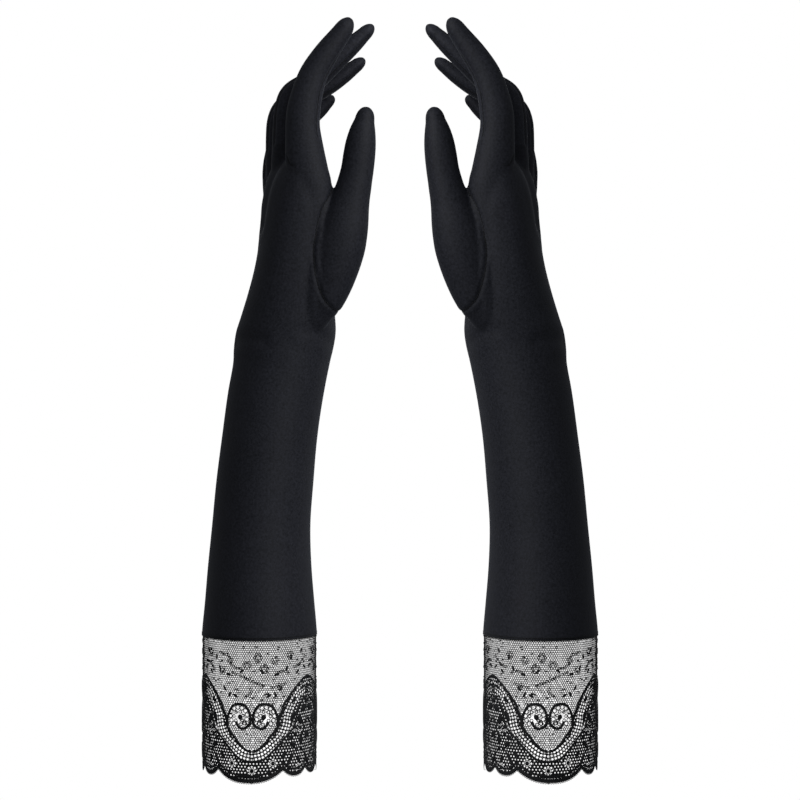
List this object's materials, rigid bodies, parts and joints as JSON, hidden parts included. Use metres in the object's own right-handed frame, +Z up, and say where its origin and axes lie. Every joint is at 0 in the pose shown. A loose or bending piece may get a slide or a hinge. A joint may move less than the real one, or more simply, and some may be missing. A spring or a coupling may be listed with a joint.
{
  "type": "opera gloves",
  "caption": "Pair of long stretch-satin opera gloves with a scalloped lace cuff, held upright as worn, with bending fingers, thumbs and wrists.",
  "frame": {"origin": "middle of the pair, between the two arm openings, at the level of the lowest lace scallops", "axes": "+Z up along the arms to the fingertips, +X from the left glove to the right glove, +Y from the index fingers to the little fingers"},
  "size_m": [0.218, 0.077, 0.4138],
  "materials": {
    "satin_knit": "matt black stretch satin, fine knit, soft sheen",
    "fourchette_knit": "the same stretch satin, cut across the stretch",
    "lace": "black floral lace, matt thread with raised cord",
    "seam_tape": "black knit tape, matt"
  },
  "bodies": {
    "left_arm": {"left_sleeve": "satin_knit", "left_lace_cuff": "lace", "left_cuff_seam_tape": "seam_tape", "left_sleeve_side_seam": "seam_tape"},
    "left_palm": {"left_hand": "satin_knit", "left_thumb_base": "satin_knit"},
    "left_thumb_shank": {"left_thumb_lower": "satin_knit"},
    "left_thumb_end": {"left_thumb_tip": "satin_knit"},
    "left_index_shank": {"left_index_fourchette_far_lower": "fourchette_knit", "left_index_stall_lower": "satin_knit"},
    "left_index_end": {"left_index_fourchette_far_upper": "fourchette_knit", "left_index_stall_upper": "satin_knit"},
    "left_middle_shank": {"left_middle_fourchette_near_lower": "fourchette_knit", "left_middle_fourchette_far_lower": "fourchette_knit", "left_middle_stall_lower": "satin_knit"},
    "left_middle_end": {"left_middle_fourchette_near_upper": "fourchette_knit", "left_middle_fourchette_far_upper": "fourchette_knit", "left_middle_stall_upper": "satin_knit"},
    "left_ring_shank": {"left_ring_fourchette_near_lower": "fourchette_knit", "left_ring_fourchette_far_lower": "fourchette_knit", "left_ring_stall_lower": "satin_knit"},
    "left_ring_end": {"left_ring_fourchette_near_upper": "fourchette_knit", "left_ring_fourchette_far_upper": "fourchette_knit", "left_ring_stall_upper": "satin_knit"},
    "left_little_shank": {"left_little_fourchette_near_lower": "fourchette_knit", "left_little_stall_lower": "satin_knit"},
    "left_little_end": {"left_little_fourchette_near_upper": "fourchette_knit", "left_little_stall_upper": "satin_knit"},
    "right_arm": {"right_sleeve": "satin_knit", "right_lace_cuff": "lace", "right_cuff_seam_tape": "seam_tape", "right_sleeve_side_seam": "seam_tape"},
    "right_palm": {"right_hand": "satin_knit", "right_thumb_base": "satin_knit"},
    "right_thumb_shank": {"right_thumb_lower": "satin_knit"},
    "right_thumb_end": {"right_thumb_tip": "satin_knit"},
    "right_index_shank": {"right_index_fourchette_far_lower": "fourchette_knit", "right_index_stall_lower": "satin_knit"},
    "right_index_end": {"right_index_fourchette_far_upper": "fourchette_knit", "right_index_stall_upper": "satin_knit"},
    "right_middle_shank": {"right_middle_fourchette_near_lower": "fourchette_knit", "right_middle_fourchette_far_lower": "fourchette_knit", "right_middle_stall_lower": "satin_knit"},
    "right_middle_end": {"right_middle_fourchette_near_upper": "fourchette_knit", "right_middle_fourchette_far_upper": "fourchette_knit", "right_middle_stall_upper": "satin_knit"},
    "right_ring_shank": {"right_ring_fourchette_near_lower": "fourchette_knit", "right_ring_fourchette_far_lower": "fourchette_knit", "right_ring_stall_lower": "satin_knit"},
    "right_ring_end": {"right_ring_fourchette_near_upper": "fourchette_knit", "right_ring_fourchette_far_upper": "fourchette_knit", "right_ring_stall_upper": "satin_knit"},
    "right_little_shank": {"right_little_fourchette_near_lower": "fourchette_knit", "right_little_stall_lower": "satin_knit"},
    "right_little_end": {"right_little_fourchette_near_upper": "fourchette_knit", "right_little_stall_upper": "satin_knit"}
  },
  "joints": [
    {"name": "left_wrist_bend", "type": "hinge", "parent": "left_arm", "child": "left_palm", "pos_m": [-0.08027, 0, 0.234], "axis": [0, 1, 0], "range_deg": [-35, 8]},
    {"name": "left_thumb_root_bend", "type": "hinge", "parent": "left_palm", "child": "left_thumb_shank", "pos_m": [-0.02738, -0.02734, 0.3176], "axis": [0, 1, 0], "range_deg": [-15, 18]},
    {"name": "left_thumb_middle_bend", "type": "hinge", "parent": "left_thumb_shank", "child": "left_thumb_end", "pos_m": [-0.022, -0.02803, 0.338], "axis": [0, 1, 0], "range_deg": [-25, 15]},
    {"name": "left_index_root_bend", "type": "hinge", "parent": "left_palm", "child": "left_index_shank", "pos_m": [-0.05896, -0.0285, 0.34299], "axis": [0, 1, 0], "range_deg": [-20, 20]},
    {"name": "left_index_middle_bend", "type": "hinge", "parent": "left_index_shank", "child": "left_index_end", "pos_m": [-0.05543, -0.0285, 0.37547], "axis": [0, 1, 0], "range_deg": [-28, 25]},
    {"name": "left_middle_root_bend", "type": "hinge", "parent": "left_palm", "child": "left_middle_shank", "pos_m": [-0.06558, -0.0093, 0.34229], "axis": [0, 1, 0], "range_deg": [-20, 30]},
    {"name": "left_middle_middle_bend", "type": "hinge", "parent": "left_middle_shank", "child": "left_middle_end", "pos_m": [-0.06142, -0.0093, 0.37519], "axis": [0, 1, 0], "range_deg": [-45, 35]},
    {"name": "left_ring_root_bend", "type": "hinge", "parent": "left_palm", "child": "left_ring_shank", "pos_m": [-0.07057, 0.0097, 0.33606], "axis": [0, 1, 0], "range_deg": [-20, 30]},
    {"name": "left_ring_middle_bend", "type": "hinge", "parent": "left_ring_shank", "child": "left_ring_end", "pos_m": [-0.06595, 0.0097, 0.36559], "axis": [0, 1, 0], "range_deg": [-50, 35]},
    {"name": "left_little_root_bend", "type": "hinge", "parent": "left_palm", "child": "left_little_shank", "pos_m": [-0.07218, 0.0274, 0.32388], "axis": [0, 1, 0], "range_deg": [-20, 30]},
    {"name": "left_little_middle_bend", "type": "hinge", "parent": "left_little_shank", "child": "left_little_end", "pos_m": [-0.06822, 0.0274, 0.34805], "axis": [0, 1, 0], "range_deg": [-40, 40]},
    {"name": "right_wrist_bend", "type": "hinge", "parent": "right_arm", "child": "right_palm", "pos_m": [0.08027, 0, 0.234], "axis": [0, -1, 0], "range_deg": [-35, 8]},
    {"name": "right_thumb_root_bend", "type": "hinge", "parent": "right_palm", "child": "right_thumb_shank", "pos_m": [0.02738, -0.02734, 0.3176], "axis": [0, -1, 0], "range_deg": [-15, 18]},
    {"name": "right_thumb_middle_bend", "type": "hinge", "parent": "right_thumb_shank", "child": "right_thumb_end", "pos_m": [0.022, -0.02803, 0.338], "axis": [0, -1, 0], "range_deg": [-25, 15]},
    {"name": "right_index_root_bend", "type": "hinge", "parent": "right_palm", "child": "right_index_shank", "pos_m": [0.05896, -0.0285, 0.34299], "axis": [0, -1, 0], "range_deg": [-20, 20]},
    {"name": "right_index_middle_bend", "type": "hinge", "parent": "right_index_shank", "child": "right_index_end", "pos_m": [0.05543, -0.0285, 0.37547], "axis": [0, -1, 0], "range_deg": [-28, 25]},
    {"name": "right_middle_root_bend", "type": "hinge", "parent": "right_palm", "child": "right_middle_shank", "pos_m": [0.06558, -0.0093, 0.34229], "axis": [0, -1, 0], "range_deg": [-20, 30]},
    {"name": "right_middle_middle_bend", "type": "hinge", "parent": "right_middle_shank", "child": "right_middle_end", "pos_m": [0.06142, -0.0093, 0.37519], "axis": [0, -1, 0], "range_deg": [-45, 35]},
    {"name": "right_ring_root_bend", "type": "hinge", "parent": "right_palm", "child": "right_ring_shank", "pos_m": [0.07057, 0.0097, 0.33606], "axis": [0, -1, 0], "range_deg": [-20, 30]},
    {"name": "right_ring_middle_bend", "type": "hinge", "parent": "right_ring_shank", "child": "right_ring_end", "pos_m": [0.06595, 0.0097, 0.36559], "axis": [0, -1, 0], "range_deg": [-50, 35]},
    {"name": "right_little_root_bend", "type": "hinge", "parent": "right_palm", "child": "right_little_shank", "pos_m": [0.07218, 0.0274, 0.32388], "axis": [0, -1, 0], "range_deg": [-20, 30]},
    {"name": "right_little_middle_bend", "type": "hinge", "parent": "right_little_shank", "child": "right_little_end", "pos_m": [0.06822, 0.0274, 0.34805], "axis": [0, -1, 0], "range_deg": [-40, 40]},
    {"name": "gloves_apart", "type": "slide", "parent": "left_arm", "child": "right_arm", "axis": [1, 0, 0], "range_m": [0, 0.15]}
  ]
}
